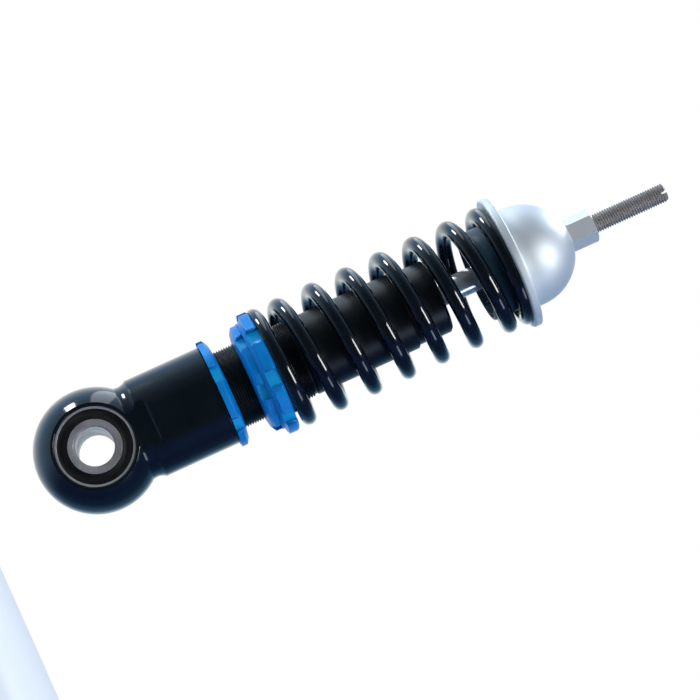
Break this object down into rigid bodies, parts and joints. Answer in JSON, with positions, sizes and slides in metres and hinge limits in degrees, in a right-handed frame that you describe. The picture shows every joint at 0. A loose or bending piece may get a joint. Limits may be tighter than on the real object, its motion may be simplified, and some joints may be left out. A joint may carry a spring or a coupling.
{
  "type": "coil-over strut assembly",
  "caption": "Coil-over suspension strut with a rubber-bushed eye, screw-in damper body, preload rings, coil spring, domed spring cup and a threaded top stud.",
  "frame": {"origin": "centre of the bolt bore in the lower eye", "axes": "+Z along the strut from the eye to the stud, +Y along the eye's bore, +X completes the frame"},
  "size_m": [0.0644, 0.0644, 0.3208],
  "materials": {
    "black_gloss": "gloss black anodised aluminium",
    "bright_steel": "turned steel",
    "rubber": "moulded rubber",
    "blue_anodised": "satin blue anodised",
    "black_satin": "satin black anodised",
    "spring_black": "gloss black powder coat",
    "cup_silver": "bead-blasted silver anodised",
    "chrome": "hard chrome",
    "zinc_steel": "zinc-plated steel",
    "seal_rubber": "nitrile seal",
    "bronze": "sintered bronze",
    "ptfe": "filled PTFE",
    "bump_foam": "microcellular polyurethane",
    "spring_steel": "blued spring steel"
  },
  "bodies": {
    "bush_core": {"bush_inner_sleeve": "bright_steel"},
    "eye_body": {"eye_housing": "black_gloss", "bush_outer_sleeve": "bright_steel", "bush_rubber": "rubber"},
    "body_ring": {"body_lock_ring": "blue_anodised"},
    "damper_body": {"damper_tube": "black_satin", "end_cap": "black_satin", "cap_o_ring": "seal_rubber", "rod_seal": "seal_rubber", "guide_bush": "bronze", "rod_wiper": "seal_rubber", "base_plug": "zinc_steel", "base_o_ring": "seal_rubber", "charge_screw": "zinc_steel"},
    "spring_carrier": {"coil_spring": "spring_black"},
    "nut_body": {"preload_nut": "blue_anodised"},
    "preload_ring": {"preload_lock_ring": "blue_anodised"},
    "rod_body": {"piston_rod": "chrome", "piston": "bronze", "piston_band": "ptfe", "rebound_shims": "spring_steel", "compression_shims": "spring_steel", "piston_nut": "zinc_steel", "rebound_bumper": "bump_foam", "snap_ring": "spring_steel", "bump_stop": "bump_foam", "cup_washer": "zinc_steel", "spring_cup": "cup_silver", "cup_nut": "zinc_steel"},
    "gas_piston": {"floating_piston": "cup_silver", "floating_piston_o_ring": "seal_rubber"}
  },
  "joints": [
    {"name": "bush_twist", "type": "hinge", "parent": "bush_core", "child": "eye_body", "pos_m": [0, 0, 0], "axis": [0, 1, 0], "range_deg": [-12, 12], "stiffness_Nm_per_rad": 90},
    {"name": "body_ring_turn", "type": "hinge", "parent": "eye_body", "child": "body_ring", "pos_m": [0, 0, 0.064], "axis": [0, 0, 1], "range_deg": [0, 60]},
    {"name": "length_adjust", "type": "slide", "parent": "eye_body", "child": "damper_body", "axis": [0, 0, 1], "range_m": [-0.003, 0.01]},
    {"name": "preload_travel", "type": "slide", "parent": "damper_body", "child": "spring_carrier", "axis": [0, 0, 1], "range_m": [-0.006, 0]},
    {"name": "preload_nut_turn", "type": "hinge", "parent": "spring_carrier", "child": "nut_body", "pos_m": [0, 0, 0.085], "axis": [0, 0, 1], "range_deg": [-1733, 5]},
    {"name": "preload_ring_turn", "type": "hinge", "parent": "spring_carrier", "child": "preload_ring", "pos_m": [0, 0, 0.08], "axis": [0, 0, 1], "range_deg": [-1733, 5]},
    {"name": "damper_stroke", "type": "slide", "parent": "damper_body", "child": "rod_body", "axis": [0, 0, 1], "range_m": [-0.047, 0], "stiffness_N_per_m": 22000, "springref_m": 0.001, "deforming": ["coil_spring"]},
    {"name": "gas_piston_travel", "type": "slide", "parent": "damper_body", "child": "gas_piston", "axis": [0, 0, 1], "range_m": [-0.008, 0.0002]}
  ],
  "couplings": [
    {"joint": "preload_nut_turn", "follows": "preload_travel", "rad_per_m": 5026.5},
    {"joint": "preload_ring_turn", "follows": "preload_travel", "rad_per_m": 5026.5},
    {"joint": "gas_piston_travel", "follows": "damper_stroke", "ratio": 0.16}
  ]
}
